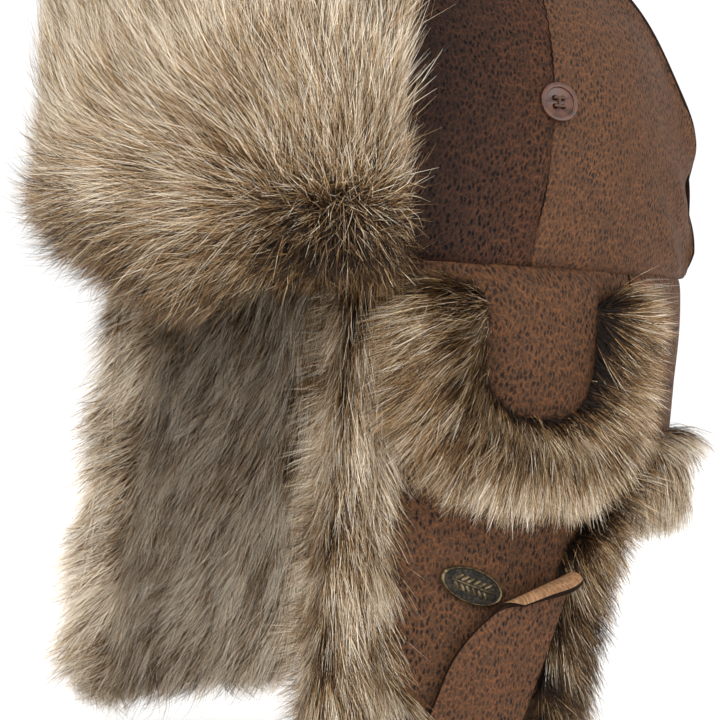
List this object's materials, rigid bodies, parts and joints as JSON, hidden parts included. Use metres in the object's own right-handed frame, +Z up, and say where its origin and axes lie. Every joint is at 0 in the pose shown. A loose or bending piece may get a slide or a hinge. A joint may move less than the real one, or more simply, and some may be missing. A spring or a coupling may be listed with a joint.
{
  "type": "trapper hat",
  "caption": "Faux leather trapper hat with a turned-up fur visor, fur-lined ear flaps, fur-edged vent flaps over the ears, folding chin tabs and a neck flap.",
  "frame": {"origin": "middle of the head opening, on the plane of the crown's lower edge", "axes": "+Z up towards the top of the crown, -Y towards the hat's front, +X to the wearer's left"},
  "size_m": [0.2234, 0.2735, 0.332],
  "materials": {
    "leather": "distressed faux leather, orange brown with dark pits, low sheen",
    "seam_edge": "raw dark brown edge of the faux leather",
    "faux_fur": "long faux fur, dark brown roots, tan middle and cream tips",
    "lining_fabric": "quilted satin lining, dark brown",
    "sweatband_fabric": "woven band, dark brown",
    "button_resin": "glossy dark brown resin",
    "thread": "dark brown thread",
    "badge_metal": "antiqued brass, dark in the recess",
    "tab_backing": "dark brown woven backing"
  },
  "bodies": {
    "crown": {"crown_gusset": "leather", "crown_side_front_left": "leather", "crown_side_front_right": "leather", "crown_side_rear_left": "leather", "crown_side_rear_right": "leather", "seam_welt_left": "seam_edge", "seam_welt_right": "seam_edge", "crown_lining": "lining_fabric", "sweatband": "sweatband_fabric", "button_left": "button_resin", "button_right": "button_resin", "button_thread_left": "thread", "button_thread_right": "thread"},
    "visor": {"visor_leather": "leather", "visor_fur": "faux_fur"},
    "ear_flap_left": {"ear_flap_leather_left": "leather", "ear_flap_fur_left": "faux_fur", "badge": "badge_metal"},
    "ear_flap_right": {"ear_flap_leather_right": "leather", "ear_flap_fur_right": "faux_fur"},
    "vent_left": {"vent_leather_left": "leather", "vent_fur_left": "faux_fur"},
    "vent_right": {"vent_leather_right": "leather", "vent_fur_right": "faux_fur"},
    "chin_tab_left": {"chin_tab_leather_left": "leather", "chin_tab_backing_left": "tab_backing"},
    "chin_tab_right": {"chin_tab_leather_right": "leather", "chin_tab_backing_right": "tab_backing"},
    "neck_flap": {"neck_flap_leather": "leather", "neck_flap_fur": "faux_fur"}
  },
  "joints": [
    {"name": "visor_fold", "type": "hinge", "parent": "crown", "child": "visor", "pos_m": [0, -0.1245, -0.001], "axis": [1, 0, 0], "range_deg": [0, 80]},
    {"name": "neck_flap_fold", "type": "hinge", "parent": "crown", "child": "neck_flap", "pos_m": [0, 0.118, -0.0008], "axis": [-1, 0, 0], "range_deg": [-145, 0]},
    {"name": "ear_flap_fold_left", "type": "hinge", "parent": "crown", "child": "ear_flap_left", "pos_m": [0.1, 0, -0.0008], "axis": [0, 1, 0], "range_deg": [-145, 0]},
    {"name": "vent_fold_left", "type": "hinge", "parent": "ear_flap_left", "child": "vent_left", "pos_m": [0.1045, 0, -0.004], "axis": [0, -1, 0], "range_deg": [0, 150]},
    {"name": "chin_tab_fold_left", "type": "hinge", "parent": "ear_flap_left", "child": "chin_tab_left", "pos_m": [0.0965, -0.031, -0.173], "axis": [0.2161, 0.9764, 0], "range_deg": [0, 150]},
    {"name": "ear_flap_fold_right", "type": "hinge", "parent": "crown", "child": "ear_flap_right", "pos_m": [-0.1, 0, -0.0008], "axis": [0, -1, 0], "range_deg": [-145, 0]},
    {"name": "vent_fold_right", "type": "hinge", "parent": "ear_flap_right", "child": "vent_right", "pos_m": [-0.1045, 0, -0.004], "axis": [0, 1, 0], "range_deg": [0, 150]},
    {"name": "chin_tab_fold_right", "type": "hinge", "parent": "ear_flap_right", "child": "chin_tab_right", "pos_m": [-0.0965, -0.031, -0.173], "axis": [0.2161, -0.9764, 0], "range_deg": [0, 150]}
  ]
}
